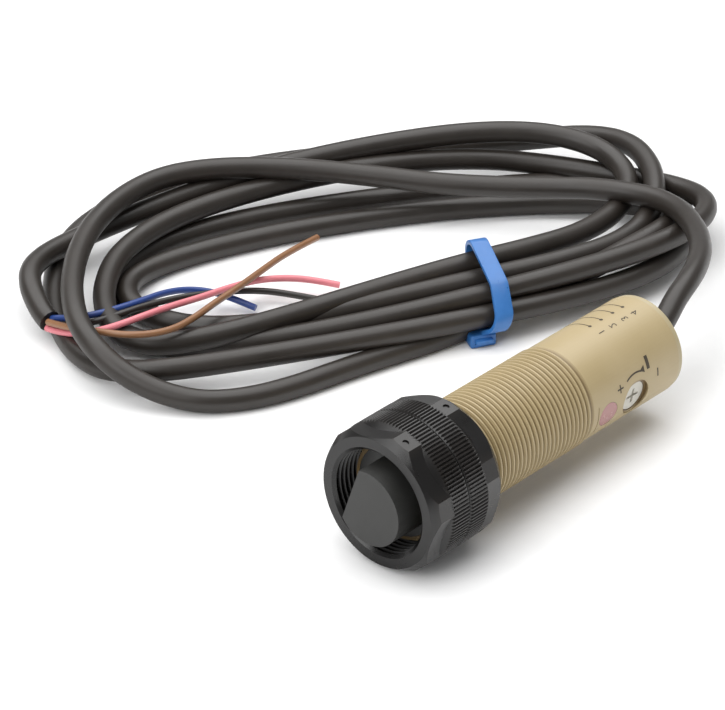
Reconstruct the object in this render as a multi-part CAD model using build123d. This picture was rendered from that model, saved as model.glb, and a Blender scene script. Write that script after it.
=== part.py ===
from build123d import *
import math
import os

# A cylindrical photoelectric sensor with an M18 barrel, a side-looking optical head, two clamping
# nuts, a sensitivity adjuster and a fixed cable that is wound into a tied oval coil.
# Millimetres. The barrel lies along X with the optical head towards +X, and +Z is up. The origin is
# below the middle of the sensor, on the surface that the nuts' collars rest on.
# Inside the model, "station" is the distance forward from the rear face along the barrel's axis.

os.makedirs("parts", exist_ok=True)

# ---- barrel
body_length = 62.0            # rear face to the front rim of the tube
smooth_radius = 8.8           # plain rear part of the tube
thread_radius = 9.0           # crest of the M18 thread
thread_pitch = 1.0
thread_depth = 0.5
thread_start = 24.0           # station where the thread begins
rim_chamfer = 0.5
bore_radius = 7.4
seat_radius = 7.85            # counterbore that takes the optical head
seat_depth = 5.1
running_gap = 0.1             # between pieces that turn or slide
fit_gap = 0.05                # between pieces that are pushed together
seam_station = 22.2           # short moulded line beside the indicator
seam_width = 0.18
seam_depth = 0.12
seam_arc = 34.0

# ---- optical head
tip_radius = 6.55
tip_length = 6.8              # how far the tip stands out of the front rim
tip_flat = 3.75               # distance of the flat, window side from the axis
head_wall = 1.0
window_angle = -71.0          # direction that the window looks, from +Z towards +Y
window_length = 4.6
window_width = 7.4
holder_radius = 5.95
holder_length = 12.0
flange_length = 2.0
optic_spacing = 5.2           # between the emitter's and the receiver's axes
optic_bore_radius = 1.55
lens_radius = 2.2
lens_thickness = 1.2
lens_bulge = 0.7
shield_thickness = 0.6
shield_length = 6.0
seal_wire = 0.9               # O-ring section diameter, head seal

# ---- service side: indicator and adjuster
service_angle = 101.0         # direction that they face, from +Z towards +Y
indicator_station = 19.6
indicator_radius = 2.2
indicator_stem_radius = 1.4
lens_recess = 0.02            # of the indicator's face below the plain barrel
adjuster_station = 12.5
knob_radius = 2.65
knob_top = 8.0                # height of the knob's face above the axis
knob_thickness = 0.9
knob_shaft_radius = 1.2
well_radius = 3.2
well_floor = 8.12             # height of the flat well around the knob
boss_radius = 4.1
boss_bottom = 5.4
knob_slot_width = 0.55
knob_slot_length = 2.9
knob_slot_depth = 0.5
knob_seal_wire = 0.6

# ---- circuit board and what is on it
board_thickness = 1.0
board_width = 13.2
board_start = 9.7
board_end_gap = 1.0           # from the board's front edge to the optics holder
chip_size = (7.0, 6.0, 1.4)
driver_size = (4.0, 4.6, 1.5)
pot_size = (4.8, 5.0, 2.2)
indicator_chip_size = (1.6, 2.0, 0.9)
led_radius = 1.5
led_flange_radius = 1.9
led_flange = 0.8
led_length = 4.5

# ---- rear closure and cable entry
cap_lip = 1.2
cap_plug = 4.6
cap_lip_radius = 8.65
grommet_radius = 3.2
grommet_flange_radius = 4.4
grommet_flange = 0.9
cable_radius = 2.0
core_radius = 0.6
stub_length = 9.2             # jacket inside the housing
jacket_lead_offset = 0.8      # of each core from the middle of the jacket, sideways
board_lead_gap = 0.02         # between a core and the board that it lies on
clamp_wall = 0.8
clamp_length = 1.3

# ---- clamping nuts
nut_length = 8.3
nut_flats = 23.0              # across flats
collar_radius = 12.45         # outside of the knurled collar
pad_radius = 12.3             # distance of the flat corner pads from the axis
nut_face_radius = 11.35       # flat ring on the nut's face
nut_mouth_radius = 9.6
collar_length = 3.95
collar_cone = 1.45            # length of the cone that ends the collar
pad_setback = 1.45            # from the nut's face to the corner pads
knurl_count = 120
knurl_depth = 0.28
rib_crest = 0.28              # half-width of a rib's top, as a share of half the ribs' spacing
rib_foot = 0.98               # the same at its foot
knurl_end_chamfer = 0.3
dimple_radius = 0.55
dimple_depth = 0.25
nut_front_reach = 4.6         # the front nut's face beyond the rim of the tube
nuts_gap = 0.12
nut_front_angle = 18.0        # direction of one corner of each nut
nut_rear_angle = 9.0

# ---- cord: free route points, coil and tie, in the model's own frame
lead_route = [
    (-34.4, 0.0, 12.45),
    (-38.2, 0.0, 12.45),
    (-42.0, -1.0, 13.7),
    (-46.0, -2.2, 15.2),
    (-50.4, -3.3, 15.9),
    (-55.6, -5.4, 15.8),
    (-61.9, -9.2, 15.0),
    (-67.9, -14.5, 13.8),
    (-72.9, -20.4, 12.6),
    (-76.3, -26.4, 11.6),
    (-77.5, -32.6, 10.8),
]
coil_height = 13.0
coil_turn_angle = 151.2       # direction of the coil's long axis, from +X towards +Y
coil_middle = (-38.9, -62.1)
coil_outline = [              # outer edge of the turns, along and across the coil's long axis
    (64.5, 6.0), (61.0, -8.0), (49.0, -18.5), (32.0, -25.5), (14.0, -30.0), (-12.0, -34.5), (-36.0, -38.0),
    (-52.0, -32.5), (-62.5, -18.0), (-66.0, 0.0), (-61.5, 17.0), (-46.0, 30.5), (-22.0, 40.5), (6.0, 45.5),
    (32.0, 44.5), (50.0, 38.0), (61.0, 24.0),
]
coil_opening = [              # inner edge of the turns
    (37.5, 1.0), (30.0, -6.5), (14.0, -12.5), (-6.0, -15.0), (-26.0, -14.0), (-40.0, -8.5), (-42.0, -1.0),
    (-34.0, 7.0), (-16.0, 13.0), (6.0, 13.5), (26.0, 9.0),
]
tie_place = (11.0, -23.6)     # along and across the coil's long axis, from its middle
neck_length = 11.0
neck_width = 12.6
neck_bottom = 1.3
neck_round = 5.0
strap_thickness = 1.1
strap_width = 2.6
tie_head = (5.2, 3.6, 4.4)
core_routes = {
    "core_blue": [
        (17.7, -88.6, 4.8), (17.3, -86.7, 5.4), (16.4, -84.0, 6.2), (14.1, -81.5, 6.8), (10.2, -80.1, 6.8),
        (4.6, -79.6, 6.2), (-1.4, -79.9, 5.2), (-6.4, -79.1, 4.0), (-9.8, -76.7, 3.0), (-11.8, -73.2, 2.0),
        (-13.0, -69.2, 1.2),
    ],
    "core_black": [
        (17.7, -89.0, 3.4), (17.4, -86.4, 4.0), (16.9, -83.2, 5.2), (15.0, -80.1, 6.4), (11.4, -78.2, 7.0),
        (6.0, -77.4, 6.7), (-0.3, -76.4, 5.8), (-6.4, -74.8, 4.8), (-12.0, -73.1, 3.6), (-16.8, -70.4, 2.6),
        (-20.2, -66.5, 1.8), (-22.8, -62.5, 1.2),
    ],
    "core_pink": [
        (19.1, -88.4, 3.5), (19.4, -85.2, 4.2), (19.4, -81.4, 5.3), (18.4, -77.5, 6.8), (15.7, -74.7, 7.9),
        (11.0, -73.4, 8.2), (4.6, -73.0, 7.6), (-2.4, -72.4, 6.6), (-9.3, -72.1, 5.8), (-15.8, -71.5, 4.8),
        (-20.9, -69.6, 3.8), (-24.8, -66.3, 3.0), (-27.3, -62.3, 2.4),
    ],
    "core_brown": [
        (19.1, -88.0, 4.9), (19.8, -84.2, 6.0), (20.1, -79.4, 7.4), (19.6, -74.2, 8.6), (17.9, -69.8, 9.0),
        (14.6, -67.0, 8.9), (10.4, -65.8, 8.6), (5.0, -66.4, 8.2), (-1.4, -67.8, 7.8), (-8.9, -69.2, 7.2),
        (-17.2, -71.5, 6.2), (-26.5, -74.0, 5.0), (-35.4, -75.2, 3.8),
    ],
}

# ---- sizes that follow from the others
sensor_length = body_length + tip_length
nut_front_station = body_length + nut_front_reach
cord_shift = -sensor_length / 2 - lead_route[0][0]   # keeps the cord's start on the rear face
axis_height = collar_radius
thread_root = thread_radius - thread_depth
head_plug_radius = seat_radius - fit_gap
holder_end = body_length - 0.5
holder_start = holder_end - holder_length
board_end = holder_start - board_end_gap
cap_end = cap_lip + cap_plug
nut_crest = thread_radius + fit_gap
nut_root = nut_crest + thread_depth


def lathe(points):
    """A solid of revolution about the barrel's axis from (station, radius) points."""
    return revolve(make_face(Polyline(*points, close=True)), Axis.X)


def tube(start, end, outer, inner):
    return lathe([(start, inner), (end, inner), (end, outer), (start, outer)])


def rod_x(start, end, radius, y=0.0, z=0.0):
    return Pos((start + end) / 2, y, z) * Rot(Y=90) * Cylinder(radius, end - start)


def rod_z(station, bottom, top, radius):
    return Pos(station, 0, (bottom + top) / 2) * Cylinder(radius, top - bottom)


def block(start, end, y_low, y_high, z_low, z_high):
    middle = Pos((start + end) / 2, (y_low + y_high) / 2, (z_low + z_high) / 2)
    return middle * Box(end - start, y_high - y_low, z_high - z_low)


def facing(angle, shape):
    """Turn a piece made with its outward side up so that this side faces the given angle."""
    return Rot(X=-angle) * shape


def placed(shape):
    """Move a piece from station coordinates into the model's frame."""
    return Pos(-sensor_length / 2, 0, axis_height) * shape


def save(node, shape, in_place=False):
    solid = Pos(cord_shift, 0, 0) * shape if in_place else placed(shape)
    export_step(solid, f"parts/{node}.step")
    return solid


# ---- housing

def thread_profile(start, end, crest, root):
    """Points of a row of ridges between two stations, from the root line to the crest line and back."""
    ridges = int((end - start) / thread_pitch)
    margin = (end - start - ridges * thread_pitch) / 2
    points = [(start, root)]
    for ridge in range(ridges):
        foot = start + margin + ridge * thread_pitch
        points.append((foot + 0.08 * thread_pitch, root))
        points.append((foot + 0.36 * thread_pitch, crest))
        points.append((foot + 0.64 * thread_pitch, crest))
        points.append((foot + 0.92 * thread_pitch, root))
    return points + [(end, root)]


def housing_tube():
    ridged = thread_profile(thread_start, body_length - rim_chamfer, thread_radius, thread_root)
    seat_floor = body_length - seat_depth
    outline = [(cap_lip, bore_radius), (cap_lip, smooth_radius - 0.15), (cap_lip + 0.15, smooth_radius)]
    outline += [(thread_start - 0.5, smooth_radius)] + ridged
    outline += [(body_length, thread_root - 0.1), (body_length, seat_radius)]
    outline += [(seat_floor, seat_radius), (seat_floor, bore_radius)]
    shell = lathe(outline)
    boss = rod_z(adjuster_station, boss_bottom, smooth_radius, boss_radius)
    boss = boss & rod_x(0, body_length, smooth_radius - 0.3)
    shell = shell + facing(service_angle, boss)
    well = rod_z(adjuster_station, well_floor, smooth_radius + 1, well_radius)
    knob_hole = rod_z(adjuster_station, knob_floor(), smooth_radius, knob_radius + running_gap)
    shaft_hole = rod_z(adjuster_station, boss_bottom - 1, smooth_radius, knob_shaft_radius + running_gap)
    indicator_hole = rod_z(indicator_station, 0, smooth_radius + 1, indicator_radius + fit_gap)
    cuts = well + knob_hole + shaft_hole + indicator_hole
    seam = make_face(Polyline(
        (seam_station, smooth_radius - seam_depth), (seam_station + seam_width, smooth_radius - seam_depth),
        (seam_station + seam_width, smooth_radius + 1), (seam_station, smooth_radius + 1), close=True))
    seam = revolve(seam, Axis.X, revolution_arc=seam_arc)
    # the seam starts at +Y and turns towards +Z, so it is turned to straddle the service side
    seam = Rot(X=90 - service_angle - seam_arc / 2) * seam
    return shell - facing(service_angle, cuts) - seam


def knob_floor():
    """Height of the step that the adjuster's seal sits on."""
    return knob_top - knob_thickness - knob_seal_wire


# ---- optical head, made with its window side up

def d_section(radius, flat, start, end):
    body = rod_x(start, end, radius)
    trim = block(start - 1, end + 1, -2 * radius, 2 * radius, flat, 2 * radius)
    return body - trim


def head_shell():
    plug_start = body_length - seat_depth + fit_gap
    plug = rod_x(plug_start, body_length, head_plug_radius)
    groove_middle = body_length - seat_depth / 2
    groove = tube(groove_middle - 0.6 * seal_wire, groove_middle + 0.6 * seal_wire,
                  head_plug_radius + 1, head_plug_radius - seal_wire - 0.05)
    shell = plug - groove + d_section(tip_radius, tip_flat, body_length - 0.5, sensor_length)
    shell = shell - rod_x(plug_start - 1, holder_end, holder_radius + fit_gap)
    shell = shell - d_section(tip_radius - head_wall, tip_flat - head_wall, holder_end - 0.1, sensor_length - head_wall)
    window_start, window_end = window_span()
    opening = block(window_start, window_end, -window_width / 2, window_width / 2, 0, tip_radius)
    return facing(window_angle, shell - opening)


def window_span():
    start = body_length + (tip_length - head_wall - window_length) / 2 + 0.2
    return start, start + window_length


def head_window():
    start, end = window_span()
    half = window_width / 2 - fit_gap
    pane = block(start + fit_gap, end - fit_gap, -half, half, tip_flat - head_wall, tip_flat - 0.08)
    return facing(window_angle, pane)


def beam_mirror():
    """A wedge whose sloping face turns the beam from the barrel's axis out of the window."""
    back = sensor_length - head_wall
    front = holder_end + lens_bulge + 0.6
    rise = back - front
    low = -(tip_radius - head_wall) * 0.62
    side = Polyline((front, 0, low), (back, 0, low), (back, 0, low + rise), close=True)
    width = (tip_radius - head_wall) * 1.2
    wedge = extrude(make_face(side), amount=width / 2, both=True)
    return facing(window_angle, wedge)


def optic_places():
    return [(-optic_spacing / 2), (optic_spacing / 2)]


def optics_holder():
    holder = rod_x(holder_start, holder_end, holder_radius)
    holder = holder + rod_x(holder_start, holder_start + flange_length, bore_radius - running_gap)
    for y in optic_places():
        holder = holder - rod_x(holder_start - 1, holder_end + 1, optic_bore_radius, y)
        holder = holder - rod_x(holder_end - lens_thickness - fit_gap, holder_end + 1, lens_radius + fit_gap, y)
    slot = shield_thickness / 2 + fit_gap
    slit = block(holder_end - shield_length - fit_gap, holder_end + 1, -slot, slot, -holder_radius, holder_radius)
    return facing(window_angle, holder - slit)


def optics_shield():
    half = shield_thickness / 2
    height = (tip_radius - head_wall) * 0.6
    plate = block(holder_end - shield_length, holder_end + 0.4, -half, half, -height, tip_flat - head_wall - 0.1)
    return facing(window_angle, plate)


def lens(y):
    """A plano-convex lens that sits in the holder's counterbore."""
    start = holder_end - lens_thickness
    ball = (lens_radius ** 2 + lens_bulge ** 2) / (2 * lens_bulge)
    disc = rod_x(start, holder_end - fit_gap, lens_radius, y)
    dome = Pos(holder_end + lens_bulge - ball, y, 0) * Sphere(ball)
    dome = dome & rod_x(holder_end - fit_gap, holder_end + lens_bulge + 1, lens_radius, y)
    return facing(window_angle, disc + dome)


def round_emitter(y):
    """A 3 mm round component whose flange rests on the holder's rear face."""
    flange = rod_x(holder_start - led_flange, holder_start, led_flange_radius, y)
    stem_end = holder_start + led_length - led_radius
    body = rod_x(holder_start, stem_end, led_radius, y)
    nose = Pos(stem_end, y, 0) * Sphere(led_radius)
    return facing(window_angle, flange + body + nose)


def ring(station, wire, middle_radius):
    """An O-ring about the barrel's axis."""
    return Pos(station, 0, 0) * Rot(Y=90) * Torus(middle_radius, wire / 2)


# ---- circuit board and service side, made with the service side up

def board_top():
    return board_thickness / 2


def main_board():
    half = board_width / 2
    board = block(board_start, board_end, -half, half, -board_thickness / 2, board_top())
    return facing(service_angle, board)


def on_board(middle, size, y=0.0):
    """A rectangular component that stands on the board's outer face."""
    length, width, height = size
    body = block(middle - length / 2, middle + length / 2, y - width / 2, y + width / 2,
                 board_top(), board_top() + height)
    return body


def chip(middle, size, y=0.0):
    body = on_board(middle, size, y)
    top_edges = body.edges().group_by(Axis.Z)[-1]
    return facing(service_angle, chamfer(top_edges, 0.15))


def capacitors():
    cans = []
    first = board_start + (board_end - board_start) * 0.62
    for number in range(3):
        can = Pos(first + 3.4 * number, -4.4, board_top() + 1.3) * Cylinder(1.4, 2.6)
        cans.append(facing(service_angle, can))
    return Compound(children=cans)


def sensitivity_pot():
    body = on_board(adjuster_station, pot_size)
    socket = rod_z(adjuster_station, board_top() + 0.6, board_top() + pot_size[2] + 1,
                   knob_shaft_radius + running_gap)
    return facing(service_angle, body - socket)


def adjuster_knob():
    disc = rod_z(adjuster_station, knob_top - knob_thickness, knob_top, knob_radius)
    shaft = rod_z(adjuster_station, board_top() + 0.8, knob_top - knob_thickness, knob_shaft_radius)
    slot = block(adjuster_station - knob_slot_length / 2, adjuster_station + knob_slot_length / 2,
                 -knob_slot_width / 2, knob_slot_width / 2, knob_top - knob_slot_depth, knob_top + 1)
    cross = Pos(adjuster_station, 0, 0) * Rot(Z=90) * Pos(-adjuster_station, 0, 0) * slot
    return facing(service_angle, disc + shaft - slot - cross)


def adjuster_seal():
    middle = knob_shaft_radius + running_gap + knob_seal_wire / 2
    seal = Pos(adjuster_station, 0, knob_floor() + knob_seal_wire / 2) * Torus(middle, knob_seal_wire / 2)
    return facing(service_angle, seal)


def indicator_lens():
    """A domed light pipe: a cap in the housing's hole, a flange under the wall and a stem."""
    ledge = math.sqrt(bore_radius ** 2 - (indicator_radius + 0.6) ** 2) - fit_gap
    cap = rod_z(indicator_station, ledge - 0.6, smooth_radius + 0.3, indicator_radius)
    cap = cap & rod_x(0, body_length, smooth_radius - lens_recess)
    flange = rod_z(indicator_station, ledge - 0.6, ledge, indicator_radius + 0.6)
    stem_bottom = board_top() + indicator_chip_size[2] + 0.3
    stem = rod_z(indicator_station, stem_bottom, ledge - 0.6, indicator_stem_radius)
    return facing(service_angle, cap + flange + stem)


def indicator_chip():
    return facing(service_angle, on_board(indicator_station, indicator_chip_size))


# ---- rear closure and cable entry

def rear_cap():
    lip = lathe([(0, grommet_radius + fit_gap), (0, cap_lip_radius - 0.35), (0.35, cap_lip_radius),
                 (cap_lip, cap_lip_radius), (cap_lip, bore_radius - fit_gap), (cap_end, bore_radius - fit_gap),
                 (cap_end, grommet_radius + fit_gap)])
    return lip


def cable_grommet():
    hole = cable_radius + fit_gap
    return lathe([(0, hole), (0, grommet_radius), (cap_end, grommet_radius),
                  (cap_end, grommet_flange_radius), (cap_end + grommet_flange, grommet_flange_radius),
                  (cap_end + grommet_flange, hole)])


def cable_stub():
    return rod_x(0, stub_length, cable_radius)


def cable_clamp():
    start = cap_end + grommet_flange + fit_gap
    return tube(start, start + clamp_length, cable_radius + fit_gap + clamp_wall, cable_radius + fit_gap)


def inner_leads():
    """The four cores from the jacket's inner end: two end at the board's edge, two run along its back."""
    leads = []
    height = board_top() + core_radius + board_lead_gap
    pot_edge = adjuster_station - pot_size[0] / 2
    for side in (-1, 1):
        offset = side * jacket_lead_offset
        leads.append(rod_x(stub_length, pot_edge - fit_gap, core_radius, offset, height))
        path = FilletPolyline((stub_length, offset, -height), (board_start + 1.2, offset, -height),
                              (board_start + 4.6, 3.2 * offset, -height), radius=2.0)
        section = Plane(origin=path @ 0, z_dir=path % 0) * Circle(core_radius)
        leads.append(sweep(section, path=path))
    return Compound(children=[facing(service_angle, lead) for lead in leads])


# ---- clamping nuts, made with the collar's end at station 0 and one corner up

def knurled_collar():
    """The toothed ring: straight ribs, a small chamfer at its end and a cone towards the hexagon."""
    half_step = math.pi / knurl_count
    outline = []
    for rib in range(knurl_count):
        middle = 2 * math.pi * rib / knurl_count
        for share, radius in ((-rib_foot, collar_radius - knurl_depth), (-rib_crest, collar_radius),
                              (rib_crest, collar_radius), (rib_foot, collar_radius - knurl_depth)):
            angle = middle + share * half_step
            outline.append((radius * math.cos(angle), radius * math.sin(angle)))
    length = collar_length + collar_cone
    stock = Rot(Y=90) * extrude(make_face(Polyline(*outline, close=True)), amount=length)
    envelope = lathe([(0, 0), (0, collar_radius - knurl_end_chamfer), (knurl_end_chamfer, collar_radius),
                      (collar_length, collar_radius), (length, nut_flats / 2 - 0.1), (length, 0)])
    return stock & envelope


def nut_hexagon():
    """The faceted end: six flats, corners cut to small pads and a chamfered face."""
    back = collar_length - 0.1
    length = nut_length - back
    flats = RegularPolygon(nut_flats / 2, 6, major_radius=False)
    pads = Rot(Z=30) * RegularPolygon(pad_radius, 6, major_radius=False)
    stock = Pos(back, 0, 0) * Rot(Y=90) * extrude(flats & pads, amount=length)
    envelope = lathe([(0, 0), (0, collar_radius), (nut_length - pad_setback, collar_radius),
                      (nut_length, nut_face_radius), (nut_length, 0)])
    return stock & envelope


def clamping_nut():
    body = knurled_collar() + nut_hexagon()
    mouth = nut_mouth_radius - nut_crest
    bore = [(-1, 0), (-1, nut_mouth_radius), (0, nut_mouth_radius)]
    bore += thread_profile(mouth, nut_length - mouth, nut_root, nut_crest)
    bore += [(nut_length, nut_mouth_radius), (nut_length + 1, nut_mouth_radius), (nut_length + 1, 0)]
    body = body - lathe(bore)
    pad_middle = (collar_length + collar_cone / 2 + nut_length - pad_setback) / 2
    for turn in (0, 120, 240):
        dimple = rod_z(pad_middle, pad_radius - dimple_depth, collar_radius, dimple_radius)
        body = body - Rot(X=turn) * dimple
    return body


def front_nut(nut):
    return Pos(nut_front_station - nut_length, 0, 0) * Rot(X=-nut_front_angle) * nut


def rear_nut(nut):
    """The same nut turned round, so that the two collars face each other."""
    face = nut_front_station - 2 * nut_length - nuts_gap
    return Pos(face, 0, 0) * Rot(X=-nut_rear_angle) * Pos(nut_length, 0, 0) * Rot(Z=180) * nut


# ---- cord

def coil_frame():
    return Pos(coil_middle[0], coil_middle[1], 0) * Rot(Z=coil_turn_angle)


def tie_frame():
    return coil_frame() * Pos(tie_place[0], tie_place[1], 0)


def neck_section(grow):
    height = coil_height - neck_bottom + 2 * grow
    round_by = neck_round + grow
    sketch = RectangleRounded(neck_width + 2 * grow, height, round_by)
    middle = (coil_height + neck_bottom) / 2
    return Pos(0, 0, middle) * Rot(Y=90) * Rot(Z=90) * sketch


def cable_coil():
    """The outer shape of the coil: an oval ring that narrows where the tie grips it."""
    outside = make_face(Spline(*coil_outline, periodic=True))
    opening = make_face(Spline(*coil_opening, periodic=True))
    coil = extrude(coil_frame() * (outside - opening), amount=coil_height)
    gap = Pos(0, 0, coil_height / 2) * Box(neck_length, 2.4 * neck_width, coil_height + 2)
    coil = coil - tie_frame() * gap
    neck = extrude(neck_section(0), amount=neck_length / 2 + 2, both=True)
    return coil + tie_frame() * neck


def cable_tie():
    """A strap round the neck of the coil, with its catch standing on the front side."""
    outside = neck_section(fit_gap + strap_thickness)
    inside = neck_section(fit_gap)
    strap = extrude(outside - inside, amount=strap_width / 2, both=True)
    length, depth, height = tie_head
    catch_y = -(neck_width / 2 + fit_gap + depth / 2)
    catch = Pos(0, catch_y, neck_bottom + height / 2) * Box(length, depth, height)
    strap_slot = Pos(0, catch_y, neck_bottom + height / 2) * Box(strap_width + 0.3, strap_thickness + 0.2, height + 1)
    return tie_frame() * (strap + catch - strap_slot)


def route_radii(points):
    """The largest tangent arcs that the runs on each side of a corner leave room for."""
    radii = []
    for before, corner, after in zip(points, points[1:], points[2:]):
        into = Vector(corner) - Vector(before)
        out_of = Vector(after) - Vector(corner)
        turn = math.radians(into.get_angle(out_of))
        radii.append(0.45 * min(into.length, out_of.length) / math.tan(turn / 2))
    return radii


def cord_tube(name, points, radius):
    radii = route_radii(points)
    path = FilletPolyline(*points, radius=radii)
    section = Plane(origin=path @ 0, z_dir=path % 0) * Circle(radius)
    solid = sweep(section, path=path)
    expected = math.pi * radius ** 2 * path.length
    print(f"{name}: length {path.length:.1f}, radii {[round(r, 1) for r in radii]}, "
          f"volume {solid.volume:.1f} against {expected:.1f}")
    return solid


def longest_piece(shape):
    return max(shape.solids(), key=lambda solid: solid.volume)


# ---- build

save("housing_tube", housing_tube())
save("head_shell", head_shell())
save("head_window", head_window())
save("beam_mirror", beam_mirror())
save("optics_holder", optics_holder())
save("optics_shield", optics_shield())
save("emitter_lens", lens(optic_places()[0]))
save("receiver_lens", lens(optic_places()[1]))
save("infrared_emitter", round_emitter(optic_places()[0]))
save("photodiode", round_emitter(optic_places()[1]))
save("head_seal", ring(body_length - seat_depth / 2, seal_wire, head_plug_radius - seal_wire / 2))

save("main_board", main_board())
save("control_chip", chip(board_end - 8.0, chip_size, 1.4))
save("output_driver", chip(board_end - 17.0, driver_size, 2.0))
save("board_capacitors", capacitors())
save("sensitivity_pot", sensitivity_pot())
save("indicator_chip", indicator_chip())
save("indicator_lens", indicator_lens())
save("adjuster_knob", adjuster_knob())
save("adjuster_seal", adjuster_seal())

save("rear_cap", rear_cap())
save("cable_grommet", cable_grommet())
save("cable_stub", cable_stub())
save("cable_clamp", cable_clamp())
save("inner_leads", inner_leads())

nut = clamping_nut()
save("nut_front", front_nut(nut))
save("nut_rear", rear_nut(nut))

coil = cable_coil()
save("cable_coil", coil, in_place=True)
save("cable_tie", cable_tie(), in_place=True)
lead = cord_tube("cable_lead", lead_route, cable_radius)
save("cable_lead", longest_piece(lead - coil), in_place=True)
for node, route in core_routes.items():
    core = cord_tube(node, route, core_radius)
    save(node, longest_piece(core - coil), in_place=True)
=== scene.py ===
import bpy
import bmesh
from math import cos, pi, radians, sin
from mathutils import Matrix, Vector


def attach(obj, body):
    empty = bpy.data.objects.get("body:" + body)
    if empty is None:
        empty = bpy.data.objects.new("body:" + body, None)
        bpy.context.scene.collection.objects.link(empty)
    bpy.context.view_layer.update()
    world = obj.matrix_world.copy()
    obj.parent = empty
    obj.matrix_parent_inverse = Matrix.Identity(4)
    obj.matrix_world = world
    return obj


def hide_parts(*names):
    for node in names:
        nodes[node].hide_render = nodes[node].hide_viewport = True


# Barrel sensor with two nuts, a sensitivity dial and a tied coil of cable.
# Sizes in the dictionaries are millimetres and degrees, but the studio's are metres. The objects are in metres.

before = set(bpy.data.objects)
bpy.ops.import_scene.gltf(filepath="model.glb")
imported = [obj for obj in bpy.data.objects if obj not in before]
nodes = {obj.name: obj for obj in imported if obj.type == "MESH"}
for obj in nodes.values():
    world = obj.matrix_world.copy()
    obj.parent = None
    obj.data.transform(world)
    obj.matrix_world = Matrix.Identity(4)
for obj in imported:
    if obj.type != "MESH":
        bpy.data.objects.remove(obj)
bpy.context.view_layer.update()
mm = 0.001
axisHeight = 12.45  # of the barrel's axis above the floor
rearFace = -34.4  # x of the barrel's rear face


def toMetres(place):
    return tuple(mm * part for part in place)


print("camera")
view = {"place": (423.44, 351.42, 355.16), "target": (-15.05, -45.78, 0.10), "lens": 198.6, "sensor": 36.0,
        "nearest": 10.0}

cameraData = bpy.data.cameras.new("camera")
cameraData.lens = view["lens"]
cameraData.sensor_width = view["sensor"]
cameraData.sensor_fit = "HORIZONTAL"
cameraData.clip_start = view["nearest"] * mm
camera = bpy.data.objects.new("camera", cameraData)
bpy.context.scene.collection.objects.link(camera)
camera.location = toMetres(view["place"])
sight = Vector(view["target"]) - Vector(view["place"])
camera.rotation_euler = sight.to_track_quat("-Z", "Y").to_euler()
bpy.context.scene.camera = camera


print("materials")


def hexColor(text):
    channels = [int(text[i:i + 2], 16) / 255 for i in (1, 3, 5)]
    return tuple(((c + 0.055) / 1.055) ** 2.4 if c > 0.04045 else c / 12.92 for c in channels) + (1.0,)


def addNode(tree, kind, settings=None, links=None):
    node = tree.nodes.new(kind)
    for key, value in (settings or {}).items():
        if isinstance(key, str) and key not in node.inputs:
            setattr(node, key, value)  # the node's own option
    for key, value in (settings or {}).items():
        if not isinstance(key, str) or key in node.inputs:
            node.inputs[key].default_value = value
    for key, source in (links or {}).items():
        tree.links.new(source, node.inputs[key])
    return node


def newMaterial(name):
    material = bpy.data.materials.new(name)
    material.use_nodes = True
    material.node_tree.nodes.clear()
    return material, material.node_tree


def finishMaterial(tree, shader):
    addNode(tree, "ShaderNodeOutputMaterial", links={"Surface": shader.outputs[0]})


# A finish runs from its low colour to its high one in slow patches, mottle mm across. Its grain is drawn
# coarser than the real one, which is mostly under 0.1 mm, so that it shows. depth is the grain's height in mm.
def madeSurface(name, finish):
    material, tree = newMaterial(name)
    place = addNode(tree, "ShaderNodeTexCoord").outputs["Object"]
    patches = addNode(tree, "ShaderNodeTexNoise", {
        "Scale": 1 / (finish["mottle"] * mm), "Detail": 4.0, "Roughness": 0.6}, {"Vector": place})
    grain = addNode(tree, "ShaderNodeTexNoise", {
        "Scale": 1 / (finish["grain"] * mm), "Detail": 2.0}, {"Vector": place})
    color = addNode(tree, "ShaderNodeMix", {
        "data_type": "RGBA", 6: hexColor(finish["low"]), 7: hexColor(finish["high"])}, {0: patches.outputs[0]})
    # painted shade: threads and ribs darker in their valleys
    if "valleyShade" in finish:
        color = paintValleyShade(tree, place, color, finish)
    swing = finish.get("swing", 0.06)  # of the roughness, either way
    gloss = addNode(tree, "ShaderNodeMapRange", {
        "From Min": 0.3, "From Max": 0.7, "To Min": finish["rough"] - swing, "To Max": finish["rough"] + swing},
        {"Value": patches.outputs[0]})
    relief = addNode(tree, "ShaderNodeBump", {
        "Strength": 0.3, "Distance": finish["depth"] * mm}, {"Height": grain.outputs[0]})
    own = {"Metallic": finish.get("metal", 0.0), "Transmission Weight": finish.get("clear", 0.0),
           "Coat Weight": finish.get("coat", 0.0)}
    if "ior" in finish:  # a metal keeps the default
        own["IOR"] = finish["ior"]
    shader = addNode(tree, "ShaderNodeBsdfPrincipled", own, {
        "Base Color": color.outputs[2], "Roughness": gloss.outputs[0], "Normal": relief.outputs[0]})
    finishMaterial(tree, shader)
    return material


# for a round piece about the barrel's axis: painted shade colour at the valley radius, its own at the crest
def paintValleyShade(tree, place, color, finish):
    centred = addNode(tree, "ShaderNodeMapping", {"Location": (0, 0, -axisHeight * mm)}, {"Vector": place})
    flat = addNode(tree, "ShaderNodeVectorMath", {
        "operation": "MULTIPLY", 1: (0.0, 1.0, 1.0)}, {0: centred.outputs[0]})
    radius = addNode(tree, "ShaderNodeVectorMath", {"operation": "LENGTH"}, {0: flat.outputs[0]})
    crest = addNode(tree, "ShaderNodeMapRange", {
        "From Min": finish["valley"] * mm, "From Max": finish["crest"] * mm, "To Min": 0.0, "To Max": 1.0},
        {"Value": radius.outputs["Value"]})
    return addNode(tree, "ShaderNodeMix", {
        "data_type": "RGBA", 6: hexColor(finish["valleyShade"])}, {0: crest.outputs[0], 7: color.outputs[2]})
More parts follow.
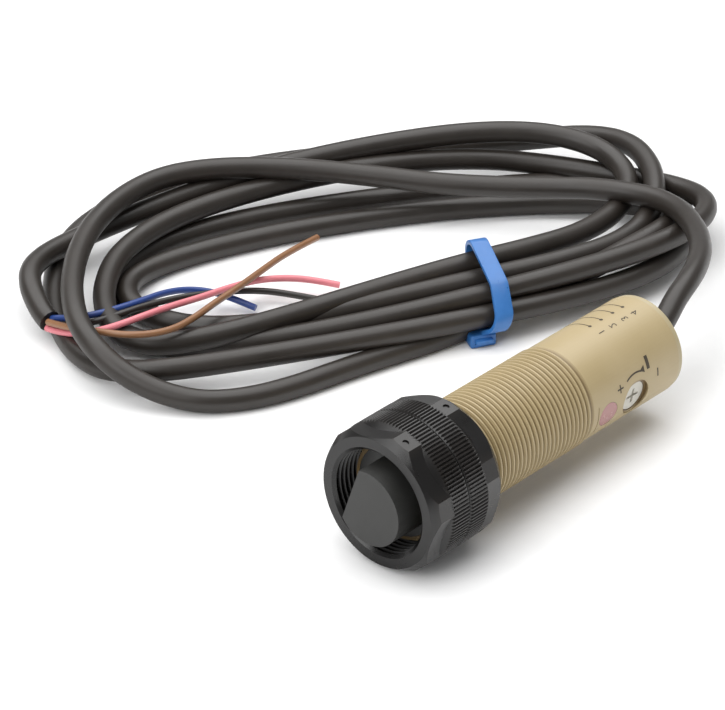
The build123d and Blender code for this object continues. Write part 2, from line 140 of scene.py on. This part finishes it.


# PBT polyester, moulded: warm beige, satin, with painted shade darkening the thread valleys
pbtBarrel = madeSurface("moulded PBT, beige", {
    "low": "#a9976f", "high": "#b4a27d", "valleyShade": "#75603e", "valley": 8.45, "crest": 8.8,
    "rough": 0.42, "swing": 0.05, "mottle": 9.0, "grain": 0.25, "depth": 0.01, "ior": 1.55})
# glass-filled nylon, moulded: near black, with painted shade darkening the valleys between its ribs
nylonNut = madeSurface("moulded glass-filled nylon, black", {
    "low": "#120f0d", "high": "#1a1613", "valleyShade": "#090706", "valley": 11.9, "crest": 12.4,
    "rough": 0.3, "swing": 0.05, "mottle": 6.0, "grain": 0.2, "depth": 0.012, "ior": 1.53})

# the rest of the pieces, each with a finish of its own
finishes = {
    # ABS, fine sparked mould: charcoal, even and dull
    "head_shell": ("moulded ABS, charcoal", {
        "low": "#2b2b2a", "high": "#323230", "rough": 0.5,
        "mottle": 5.0, "grain": 0.3, "depth": 0.012, "ior": 1.53}),
    # PMMA filled with dye that only infrared passes: polished, almost black, a hint of red
    "head_window": ("polished PMMA, infrared filter", {
        "low": "#120a0d", "high": "#1c0f13", "rough": 0.12,
        "mottle": 6.0, "grain": 1.5, "depth": 0.004, "ior": 1.49}),
    # aluminium evaporated on the moulded mirror: bright with a faint haze
    "beam_mirror": ("evaporated aluminium", {
        "low": "#e2e3e6", "high": "#eef0f2", "rough": 0.12,
        "mottle": 3.0, "grain": 0.6, "depth": 0.002, "metal": 1.0}),
    # ABS holder: black, dull so that it throws no light about
    "optics_holder": ("moulded ABS, black", {
        "low": "#161615", "high": "#1d1d1c", "rough": 0.6,
        "mottle": 4.0, "grain": 0.3, "depth": 0.012, "ior": 1.53}),
    # nickel silver sheet: grey with rolling grain
    "optics_shield": ("rolled nickel silver", {
        "low": "#a9a79f", "high": "#c2c0b8", "rough": 0.34,
        "mottle": 2.0, "grain": 0.2, "depth": 0.004, "metal": 1.0}),
    # clear acrylic: glassy
    "emitter_lens": ("polished PMMA, clear", {
        "low": "#e8eef0", "high": "#f4f8fa", "rough": 0.08,
        "mottle": 4.0, "grain": 1.0, "depth": 0.001, "ior": 1.49, "clear": 0.9}),
    "receiver_lens": ("polished PMMA, clear receiver", {
        "low": "#e8eef0", "high": "#f4f8fa", "rough": 0.08,
        "mottle": 4.0, "grain": 1.0, "depth": 0.001, "ior": 1.49, "clear": 0.9}),
    # cast epoxy domes: blue-grey for the emitter, black for the daylight-blocking receiver
    "infrared_emitter": ("cast epoxy, blue-grey", {
        "low": "#7f8fa8", "high": "#93a4bd", "rough": 0.15,
        "mottle": 2.0, "grain": 0.8, "depth": 0.002, "ior": 1.54, "clear": 0.4}),
    "photodiode": ("cast epoxy, dark", {
        "low": "#15151b", "high": "#1d1d25", "rough": 0.15,
        "mottle": 2.0, "grain": 0.8, "depth": 0.002, "ior": 1.54}),
    # nitrile rubber: black, soft sheen with a dusty bloom
    "head_seal": ("moulded nitrile rubber", {
        "low": "#181716", "high": "#262422", "rough": 0.6,
        "mottle": 2.0, "grain": 0.2, "depth": 0.01, "ior": 1.52}),
    "adjuster_seal": ("moulded nitrile rubber, dial ring", {
        "low": "#181716", "high": "#262422", "rough": 0.6,
        "mottle": 2.0, "grain": 0.2, "depth": 0.01, "ior": 1.52}),
    "cable_grommet": ("moulded nitrile rubber, grommet", {
        "low": "#1b1917", "high": "#2a2724", "rough": 0.58,
        "mottle": 2.0, "grain": 0.2, "depth": 0.01, "ior": 1.52}),
    # glass epoxy board under green solder mask: the weave shows through as a fine grain
    "main_board": ("glass epoxy with solder mask", {
        "low": "#1c5a32", "high": "#26703f", "rough": 0.3,
        "mottle": 1.6, "grain": 0.5, "depth": 0.01, "ior": 1.54}),
    # filled epoxy: black and dull, with fine pits
    "control_chip": ("transfer-moulded epoxy", {
        "low": "#1a1a1b", "high": "#222223", "rough": 0.55,
        "mottle": 2.0, "grain": 0.15, "depth": 0.006, "ior": 1.55}),
    "output_driver": ("transfer-moulded epoxy, driver", {
        "low": "#1c1b1b", "high": "#252424", "rough": 0.55,
        "mottle": 2.0, "grain": 0.15, "depth": 0.006, "ior": 1.55}),
    # drawn aluminium can: bright, drawn smooth
    "board_capacitors": ("drawn aluminium", {
        "low": "#c4c5c8", "high": "#d8d9dc", "rough": 0.28,
        "mottle": 2.0, "grain": 0.4, "depth": 0.003, "metal": 1.0}),
    # phenolic: blue, hard and slightly glossy
    "sensitivity_pot": ("moulded phenolic, blue", {
        "low": "#274f9e", "high": "#2f5cb2", "rough": 0.35,
        "mottle": 2.0, "grain": 0.3, "depth": 0.006, "ior": 1.56}),
    # yellow phosphor in a white reflector: pale and even
    "indicator_chip": ("moulded reflector with phosphor", {
        "low": "#e6dfc0", "high": "#f0ebd2", "rough": 0.4,
        "mottle": 1.0, "grain": 0.3, "depth": 0.003, "ior": 1.5}),
    # translucent polycarbonate: rosy because the white reflector shines through it
    "indicator_lens": ("moulded polycarbonate, rose", {
        "low": "#9c6262", "high": "#ab7672", "rough": 0.24,
        "mottle": 1.4, "grain": 0.5, "depth": 0.003, "ior": 1.58, "coat": 0.3}),
    # acetal: off-white, waxy
    "adjuster_knob": ("moulded acetal, off-white", {
        "low": "#c6c3b8", "high": "#d2cfc6", "rough": 0.34,
        "mottle": 2.0, "grain": 0.3, "depth": 0.006, "ior": 1.48}),
    # PBT polyester again, paler: the same satin as the barrel
    "rear_cap": ("moulded PBT, pale beige", {
        "low": "#a99c7a", "high": "#b6a988", "rough": 0.4,
        "mottle": 6.0, "grain": 0.25, "depth": 0.008, "ior": 1.55}),
    # soft PVC: the same jacket as the free cable
    "cable_stub": ("extruded PVC, in the housing", {
        "low": "#2c2723", "high": "#39332e", "rough": 0.42,
        "mottle": 3.0, "grain": 0.3, "depth": 0.006, "ior": 1.53}),
    # brass strip: yellow, rubbed bright where it is crimped
    "cable_clamp": ("crimped brass", {
        "low": "#b28c44", "high": "#c9a558", "rough": 0.3,
        "mottle": 2.0, "grain": 0.3, "depth": 0.005, "metal": 1.0}),
    # PVC insulation: plain brown, slightly waxy
    "inner_leads": ("extruded PVC, inner leads", {
        "low": "#5c3f26", "high": "#6e4c30", "rough": 0.45,
        "mottle": 3.0, "grain": 0.4, "depth": 0.005, "ior": 1.53}),
}


def dress(nodeName, material):
    slots = nodes[nodeName].data.materials
    slots.clear()
    slots.append(material)


for nodeName, (materialName, finish) in finishes.items():
    dress(nodeName, madeSurface(materialName, finish))
dress("housing_tube", pbtBarrel)
for nodeName in ("nut_front", "nut_rear"):
    dress(nodeName, nylonNut)

print("cable")
# millimetres in the part's frame, from the barrel's rear face to the back of the coil
leadRoute = [
    (-34.4, 0, 12.45), (-38.2, 0, 12.45), (-42.0, -1.0, 13.7), (-46.0, -2.2, 15.2), (-50.4, -3.3, 15.9),
    (-55.6, -5.4, 15.8), (-61.9, -9.2, 15.0), (-67.9, -14.5, 13.8), (-72.9, -20.4, 12.6), (-76.3, -26.4, 11.6),
    (-77.5, -32.6, 10.8)]

# The coil is an oval. Its angle is its long side's, "along" runs from left to right and "across" from front to back.
coil = {
    "middle": (-38.9, -62.1), "angle": 151.2, "radius": 2.0, "pointsPerQuarter": 5, "smoothings": 2,
    # the first pass, over the back of the other turns and down to the floor at the left: along, across, height
    "firstPass": [
        (41.1, 0.0, 9.9), (34.9, 3.8, 9.2), (25.1, 8.6, 8.6), (15.3, 13.2, 8.6), (5.7, 18.7, 9.0), (-4.1, 23.9, 9.4),
        (-14.3, 27.9, 9.8), (-24.1, 30.1, 10.0), (-32.8, 29.4, 10.2), (-41.2, 24.8, 10.2), (-48.6, 17.2, 10.2),
        (-54.0, 8.3, 10.2), (-57.8, -1.1, 10.2), (-59.9, -9.5, 10.0), (-60.5, -16.0, 9.4), (-59.6, -20.8, 8.2),
        (-57.5, -25.0, 6.4), (-54.2, -28.5, 4.4), (-49.8, -32.0, 2.9), (-44.2, -35.0, 2.1), (-36.6, -36.1, 2.0),
        (-28.3, -35.0, 2.0), (-19.4, -32.5, 2.0), (-10.3, -30.2, 2.0), (-2.5, -28.6, 2.0), (3.5, -27.0, 2.1)],
    # where each turn goes through the tie, 11 mm along: across, height
    "tieAt": 11.0,
    "inTie": [(-23.7, 2), (-22.6, 10.1), (-29.9, 5.8), (-26.8, 9), (-18.3, 11.5)],
    "cutEnd": (-62.7, -3.8, 4.2),
    # along and across at the turn's right, back and left; how full its four quarters are (2 is an ellipse); and
    # its heights halfway to the right, at the right, halfway to the back, and so on round to the tie again
    "turns": [
        {"right": (56.1, -2.7), "back": (0.5, 17.6), "left": (-49.6, 2.3),
         "fullness": (2.4, 1.8, 2.5, 2.5), "heights": (10.8, 4.5, 2, 2, 2, 2.9, 2.4)},
        {"right": (57.2, 19.8), "back": (-10.3, 44.3), "left": (-63.4, -16.4),
         "fullness": (2.7, 1.5, 2.8, 3.1), "heights": (5.7, 11.2, 2, 2.1, 2, 2, 4.5)},
        {"right": (60.8, 9), "back": (-18, 25), "left": (-54.8, -10.9),
         "fullness": (2.6, 1.9, 2.4, 1.6), "heights": (4.4, 2, 2, 2, 2, 2, 2.4)},
        {"right": (61.8, -4.9), "back": (19.7, 30.2), "left": (-57, -21.2),
         "fullness": (2.2, 1.5, 3.3, 1.7), "heights": (9.3, 7.9, 3.4, 6.8, 5.7, 5.7, 4.1)},
        {"right": (52.1, 9.6), "back": (-11.4, 32.2), "left": (-63.9, 10.2),
         "fullness": (1.8, 2.4, 1.6, 2.3), "heights": (6.7, 7.7, 11.3, 7.8, 4.3, 7.7, 4.8)}]}


def fromCoil(along, across, height):
    turn = radians(coil["angle"])
    return Vector((coil["middle"][0] + along * cos(turn) - across * sin(turn),
                   coil["middle"][1] + along * sin(turn) + across * cos(turn), height))


def turnPoints(turn, entry, leave):
    corners = [(coil["tieAt"], entry[0]), turn["right"], turn["back"], turn["left"], leave[:2]]
    heights = [entry[1], *turn["heights"], leave[2]]
    points = []
    for quarter in range(4):
        a, b = corners[quarter], corners[quarter + 1]
        power = 2 / turn["fullness"][quarter]
        for step in range(coil["pointsPerQuarter"]):
            part = step / coil["pointsPerQuarter"]
            up, down = sin(part * pi / 2) ** power, cos(part * pi / 2) ** power
            if quarter % 2 == 0:
                along, across = a[0] + (b[0] - a[0]) * up, b[1] + (a[1] - b[1]) * down
            else:
                along, across = b[0] + (a[0] - b[0]) * down, a[1] + (b[1] - a[1]) * up
            half = 2 * quarter + int(2 * part)
            rise = 2 * part - int(2 * part)
            rise = rise * rise * (3 - 2 * rise)  # eased at both ends
            points.append((along, across, heights[half] + (heights[half + 1] - heights[half]) * rise))
    return points


coilPoints = []
for number, turn in enumerate(coil["turns"]):
    last = number == len(coil["turns"]) - 1
    leave = coil["cutEnd"] if last else (coil["tieAt"], *coil["inTie"][number + 1])
    coilPoints += turnPoints(turn, coil["inTie"][number], leave)
coilPoints.append(coil["cutEnd"])
route = [Vector(p) for p in leadRoute] + [fromCoil(*p) for p in coil["firstPass"] + coilPoints]
loose = len(route) - len(coilPoints)
for smoothing in range(coil["smoothings"]):  # the cable is too stiff for the corners between quarters
    eased = list(route)
    for i in range(loose, len(route) - 1):
        eased[i] = (route[i - 1] + 2 * route[i] + route[i + 1]) / 4
    route = eased


def addCord(name, points, radius, material):
    data = bpy.data.curves.new(name, "CURVE")
    data.dimensions = "3D"
    line = data.splines.new("NURBS")
    line.points.add(len(points) - 1)
    for point, place in zip(line.points, points):
        point.co = (*toMetres(place), 1.0)
    line.order_u = 3
    line.use_endpoint_u = True
    line.resolution_u = 8
    data.bevel_depth = radius * mm
    data.bevel_resolution = 6
    data.use_fill_caps = True
    data.materials.append(material)
    cord = bpy.data.objects.new(name, data)
    bpy.context.scene.collection.objects.link(cord)
    return cord


def cordLength(cord):
    plain = cord.copy()
    plain.data = cord.data.copy()
    plain.data.bevel_depth = 0
    line = bpy.data.meshes.new_from_object(plain)
    places = [v.co.copy() for v in line.vertices]
    bpy.data.objects.remove(plain)
    bpy.data.meshes.remove(line)
    return sum((b - a).length for a, b in zip(places, places[1:]))


# soft PVC, extruded: dark grey-brown with a satin skin, dusted paler where it rubs
jacketPvc = madeSurface("extruded PVC, dark grey-brown", {
    "low": "#221e1a", "high": "#322c27", "rough": 0.42, "mottle": 7.0, "grain": 0.35, "depth": 0.012, "ior": 1.53})
cable = addCord("signal_cable", route, coil["radius"], jacketPvc)
print("cable length", round(cordLength(cable), 4))

print("cores")
# PVC insulation, extruded over the strands: plain colours, slightly waxy
cores = {
    "core_blue": {"low": "#1f3a78", "high": "#2a4990", "route": [
        (17.7, -88.6, 4.8), (17.3, -86.7, 5.4), (16.4, -84.0, 6.2), (14.1, -81.5, 6.8), (10.2, -80.1, 6.8),
        (4.6, -79.6, 6.2), (-1.4, -79.9, 5.2), (-6.4, -79.1, 4.0), (-9.8, -76.7, 3.0), (-11.8, -73.2, 2.0),
        (-13.0, -69.2, 1.2)]},
    "core_black": {"low": "#1f1b18", "high": "#2c2723", "route": [
        (17.7, -89.0, 3.4), (17.4, -86.4, 4.0), (16.9, -83.2, 5.2), (15.0, -80.1, 6.4), (11.4, -78.2, 7.0),
        (6.0, -77.4, 6.7), (-0.3, -76.4, 5.8), (-6.4, -74.8, 4.8), (-12.0, -73.1, 3.6), (-16.8, -70.4, 2.6),
        (-20.2, -66.5, 1.8), (-22.8, -62.5, 1.2)]},
    "core_pink": {"low": "#d97680", "high": "#e68c94", "route": [
        (19.1, -88.4, 3.5), (19.4, -85.2, 4.2), (19.4, -81.4, 5.3), (18.4, -77.5, 6.8), (15.7, -74.7, 7.9),
        (11.0, -73.4, 8.2), (4.6, -73.0, 7.6), (-2.4, -72.4, 6.6), (-9.3, -72.1, 5.8), (-15.8, -71.5, 4.8),
        (-20.9, -69.6, 3.8), (-24.8, -66.3, 3.0), (-27.3, -62.3, 2.4)]},
    "core_brown": {"low": "#80583a", "high": "#946a48", "route": [
        (19.1, -88.0, 4.9), (19.8, -84.2, 6.0), (20.1, -79.4, 7.4), (19.6, -74.2, 8.6), (17.9, -69.8, 9.0),
        (14.6, -67.0, 8.9), (10.4, -65.8, 8.6), (5.0, -66.4, 8.2), (-1.4, -67.8, 7.8), (-8.9, -69.2, 7.2),
        (-17.2, -71.5, 6.2), (-26.5, -74.0, 5.0), (-35.4, -75.2, 3.8)]}}
coreRadius = 0.6

for coreName, core in cores.items():
    skin = madeSurface("extruded PVC, " + coreName.split("_")[1], {
        "low": core["low"], "high": core["high"], "rough": 0.36,
        "mottle": 4.0, "grain": 0.4, "depth": 0.006, "ior": 1.53})
    strand = addCord("wire_" + coreName, core["route"], coreRadius, skin)
    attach(strand, "root")
    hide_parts(coreName)
    round(cordLength(strand), 4)


print("tie")
tie = {"width": 3.2, "thickness": 0.8, "gap": 0.06, "sides": 28, "bevel": 0.15, "slant": 3.4, "straightAbove": 11.0,
       "catch": (4.8, 3.4, 2.5), "catchAt": (-28.6, 1.35), "catchBevel": 0.45, "slotRim": 0.5, "slotWall": 0.1,
       "slotDepth": 0.8, "tailLength": 1.1, "tailAt": (-0.3, 0.2), "tailBevel": 0.12, "flatWithin": 1,
       "smoothUpTo": 40}
sharpEdge = 1.2  # radians between the faces at an edge that gets a bevel


def addMesh(name, mesh, material):
    data = bpy.data.meshes.new(name)
    mesh.to_mesh(data)
    mesh.free()
    data.materials.append(material)
    piece = bpy.data.objects.new(name, data)
    bpy.context.scene.collection.objects.link(piece)
    return piece


# a block in the tie's frame: along the cable, across it, and up
def tieBlock(mesh, size, across, height, along=0.0):
    made = bmesh.ops.create_cube(mesh, size=1.0)["verts"]
    bmesh.ops.scale(mesh, vec=size, verts=made)
    bmesh.ops.translate(mesh, vec=(along, across, height), verts=made)
    return made


# nylon 6.6, moulded: clear mid blue with a soft gloss
nylonTie = madeSurface("moulded nylon 6.6, blue", {
    "low": "#2c66a8", "high": "#3b79bf", "rough": 0.33, "mottle": 3.0, "grain": 0.4, "depth": 0.006, "ior": 1.53})

strap = bmesh.new()
for across, height in coil["inTie"]:
    ring = bmesh.ops.create_cone(strap, cap_ends=True, segments=tie["sides"], radius1=coil["radius"] + tie["gap"],
                                 radius2=coil["radius"] + tie["gap"], depth=tie["width"])["verts"]
    bmesh.ops.rotate(strap, matrix=Matrix.Rotation(pi / 2, 3, "Y"), verts=ring)
    bmesh.ops.translate(strap, vec=(0, across, height), verts=ring)
bmesh.ops.delete(strap, geom=strap.edges[:], context="EDGES_FACES")
hull = bmesh.ops.convex_hull(strap, input=strap.verts)
unused = {g for key in ("geom_interior", "geom_unused") for g in hull[key] if isinstance(g, bmesh.types.BMVert)}
bmesh.ops.delete(strap, geom=list(unused), context="VERTS")
bmesh.ops.recalc_face_normals(strap, faces=strap.faces)
ends = [f for f in strap.faces if abs(f.normal.x) > 0.5]
bmesh.ops.delete(strap, geom=ends, context="FACES")
bmesh.ops.dissolve_limit(strap, angle_limit=radians(tie["flatWithin"]), verts=strap.verts, edges=strap.edges)
bmesh.ops.solidify(strap, geom=strap.faces[:], thickness=-tie["thickness"])
bmesh.ops.recalc_face_normals(strap, faces=strap.faces)
rims = [e for e in strap.edges if len(e.link_faces) == 2 and e.calc_face_angle(0) > sharpEdge]
bmesh.ops.bevel(strap, geom=rims, offset=tie["bevel"], segments=2, profile=0.5, affect="EDGES", material=-1)

for vert in strap.verts:  # the strap leans over towards its catch as it nears the floor
    vert.co.x -= tie["slant"] * max(0.0, 1 - vert.co.z / tie["straightAbove"]) ** 2

catch = bmesh.new()
tieBlock(catch, tie["catch"], *tie["catchAt"], along=-tie["slant"])
bmesh.ops.bevel(catch, geom=catch.edges, offset=tie["catchBevel"], segments=3, profile=0.5, affect="EDGES",
                material=-1)
mouth = min(catch.faces, key=lambda f: f.calc_center_median().y)  # the face that the tail comes out of
bmesh.ops.inset_region(catch, faces=[mouth], thickness=tie["slotRim"], depth=0)
bmesh.ops.inset_region(catch, faces=[mouth], thickness=tie["slotWall"], depth=-tie["slotDepth"])
tail = bmesh.new()
tieBlock(tail, (tie["width"], tie["tailLength"], tie["thickness"]),
         tie["catchAt"][0] - tie["catch"][1] / 2 + tie["tailAt"][0], tie["catchAt"][1] + tie["tailAt"][1],
         along=-tie["slant"])
bmesh.ops.bevel(tail, geom=tail.edges, offset=tie["tailBevel"], segments=2, profile=0.5, affect="EDGES", material=-1)

joined = bmesh.new()
for source in (strap, catch, tail):
    scratch = bpy.data.meshes.new("scratch")
    source.to_mesh(scratch)
    joined.from_mesh(scratch)
    bpy.data.meshes.remove(scratch)
    source.free()
tiePlace = Matrix.Translation(Vector(toMetres(fromCoil(coil["tieAt"], 0, 0))))
tieTurn = tiePlace @ Matrix.Rotation(radians(coil["angle"]), 4, "Z") @ Matrix.Scale(mm, 4)
bmesh.ops.transform(joined, matrix=tieTurn, verts=joined.verts)
cableTie = addMesh("cable_strap", joined, nylonTie)
for face in cableTie.data.polygons:
    face.use_smooth = True
cableTie.data.set_sharp_from_angle(angle=radians(tie["smoothUpTo"]))
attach(cableTie, "root")
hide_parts("cable_tie")

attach(cable, "root")
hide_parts("cable_lead", "cable_coil")

print("marks")
# stations are along the barrel from its rear face, angles round it from the top
marks = {"radius": 8.8, "lift": 0.02, "cut": 0.35,
         "rows": [(13.6, "1"), (10.7, "2"), (7.7, "3"), (5.1, "4")],  # each leader line's station and numeral
         "dot": {"radius": 0.32, "angle": -4, "sides": 20},
         "leader": {"span": 39, "angle": -23.5, "width": 0.2},
         "numeral": {"size": 2.0, "angle": 12}, "dash": {"size": (2.3, 0.75), "angle": 66.6, "station": 9.2},
         "arc": {"radius": 4.6, "width": 0.3, "angle": 100.2, "station": 12.5, "start": 150, "sweep": 49.9},
         "arrow": {"radius": 0.75, "across": -4.45, "station": 10.6, "sides": 3},
         "sign": {"length": 1.5, "width": 0.28, "plus": (78, 16.6), "minus": (84, 7.0)}}


# flat shapes are drawn with x round the barrel and y forward, then bent onto the tube
def flatText(mesh, text, size, across, forward, turned):
    letters = bpy.data.curves.new("letters", "FONT")
    letters.body = text
    letters.size = size
    letters.align_x = "CENTER"
    letters.align_y = "CENTER"
    holder = bpy.data.objects.new("letters", letters)
    flat = bpy.data.meshes.new_from_object(holder)
    flat.transform(Matrix.Translation((across, forward, 0)) @ Matrix.Rotation(turned, 4, "Z"))
    mesh.from_mesh(flat)
    bpy.data.objects.remove(holder)
    bpy.data.meshes.remove(flat)


def flatBar(mesh, size, across, forward):
    bar = bmesh.ops.create_grid(mesh, x_segments=1, y_segments=1, size=0.5)["verts"]
    bmesh.ops.scale(mesh, vec=(*size, 1), verts=bar)
    bmesh.ops.translate(mesh, vec=(across, forward, 0), verts=bar)


def flatDot(mesh, radius, across, forward, segments):
    dot = bmesh.ops.create_circle(mesh, cap_ends=True, segments=segments, radius=radius)["verts"]
    bmesh.ops.translate(mesh, vec=(across, forward, 0), verts=dot)


def flatArc(mesh, radius, width, across, forward, start, sweep):
    first = mesh.verts.new((radius - width / 2, 0, 0))
    second = mesh.verts.new((radius + width / 2, 0, 0))
    edge = mesh.edges.new((first, second))
    bmesh.ops.rotate(mesh, matrix=Matrix.Rotation(start, 3, "Z"), verts=[first, second])
    bmesh.ops.translate(mesh, vec=(across, forward, 0), verts=[first, second])
    bmesh.ops.spin(mesh, geom=[first, second, edge], cent=(across, forward, 0), axis=(0, 0, 1), angle=sweep, steps=14)


def arcPlace(angle):
    return radians(angle) * marks["radius"]


printed = bmesh.new()
dot, leader, numeral, dash = marks["dot"], marks["leader"], marks["numeral"], marks["dash"]
arc, arrow, sign = marks["arc"], marks["arrow"], marks["sign"]
for station, figure in marks["rows"]:
    flatDot(printed, dot["radius"], arcPlace(dot["angle"]), station, dot["sides"])
    flatBar(printed, (arcPlace(leader["span"]), leader["width"]), arcPlace(leader["angle"]), station)
    flatText(printed, figure, numeral["size"], arcPlace(numeral["angle"]), station, pi)
flatBar(printed, dash["size"], arcPlace(dash["angle"]), dash["station"])
flatArc(printed, arc["radius"], arc["width"], arcPlace(arc["angle"]), arc["station"], radians(arc["start"]),
        radians(arc["sweep"]))
flatDot(printed, arrow["radius"], arcPlace(arc["angle"]) + arrow["across"], arrow["station"], arrow["sides"])
flatBar(printed, (sign["length"], sign["width"]), arcPlace(sign["plus"][0]), sign["plus"][1])
flatBar(printed, (sign["width"], sign["length"]), arcPlace(sign["plus"][0]), sign["plus"][1])
flatBar(printed, (sign["length"], sign["width"]), arcPlace(sign["minus"][0]), sign["minus"][1])

low = min(v.co.x for v in printed.verts)
high = max(v.co.x for v in printed.verts)
cuts = int((high - low) / marks["cut"])
for cut in range(1, cuts):  # fine enough for the flat shapes to follow the barrel
    whole = printed.verts[:] + printed.edges[:] + printed.faces[:]
    bmesh.ops.bisect_plane(printed, geom=whole, plane_co=(low + cut * marks["cut"], 0, 0), plane_no=(1, 0, 0))
for vert in printed.verts:
    angle = vert.co.x / marks["radius"]
    reach = marks["radius"] + marks["lift"]
    vert.co = (mm * (rearFace + vert.co.y), mm * reach * sin(angle), mm * (axisHeight + reach * cos(angle)))
for face in printed.faces:
    face.normal_update()
    middle = face.calc_center_median()
    outward = middle - Vector((middle.x, 0, mm * axisHeight))
    if face.normal.dot(outward) < 0:
        face.normal_flip()

# two-part pad printing ink: thin, dull, brown-black
padInk = madeSurface("pad printing ink, brown-black", {
    "low": "#3a3226", "high": "#4a4132", "rough": 0.6, "mottle": 0.8, "grain": 0.12, "depth": 0.004, "ior": 1.5})
printedMarks = addMesh("printed_marks", printed, padInk)
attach(printedMarks, "root")

print("floor and light")
studio = {"floorSize": 2.4, "sky": 0.28, "fibre": 4.0 * mm, "aim": (-0.03, -0.05, 0.0), "lamps": [
    {"name": "overhead", "place": (-0.20, -0.30, 1.00), "size": 1.6, "watts": 21.0},
    {"name": "fill", "place": (0.70, -0.05, 0.55), "size": 0.6, "watts": 3.5}]}

floorMesh = bmesh.new()
bmesh.ops.create_grid(floorMesh, x_segments=1, y_segments=1, size=studio["floorSize"])
# white seamless paper: matte, faintly fibrous, its fibres drawn much coarser than real ones so that they show
paper, paperTree = newMaterial("seamless paper, white")
paperPlace = addNode(paperTree, "ShaderNodeTexCoord").outputs["Object"]
fibres = addNode(paperTree, "ShaderNodeTexNoise", {
    "Scale": 1 / studio["fibre"], "Detail": 3.0}, {"Vector": paperPlace})
paperColor = addNode(paperTree, "ShaderNodeMix", {
    "data_type": "RGBA", 6: hexColor("#f6f6f6"), 7: hexColor("#fbfbfb")}, {0: fibres.outputs[0]})
paperShader = addNode(paperTree, "ShaderNodeBsdfDiffuse", {"Roughness": 1.0}, {"Color": paperColor.outputs[2]})
finishMaterial(paperTree, paperShader)
floor = addMesh("floor", floorMesh, paper)

for lamp in studio["lamps"]:
    lampData = bpy.data.lights.new(lamp["name"], "AREA")
    lampData.size = lamp["size"]
    lampData.energy = lamp["watts"]
    light = bpy.data.objects.new(lamp["name"], lampData)
    bpy.context.scene.collection.objects.link(light)
    light.location = lamp["place"]
    shine = Vector(studio["aim"]) - Vector(lamp["place"])
    light.rotation_euler = shine.to_track_quat("-Z", "Y").to_euler()
world = bpy.data.worlds.new("studio")
world.use_nodes = True
sky = world.node_tree.nodes["Background"]
sky.inputs["Color"].default_value = (1, 1, 1, 1)
sky.inputs["Strength"].default_value = studio["sky"]
bpy.context.scene.world = world
bpy.context.scene.view_settings.view_transform = "Standard"
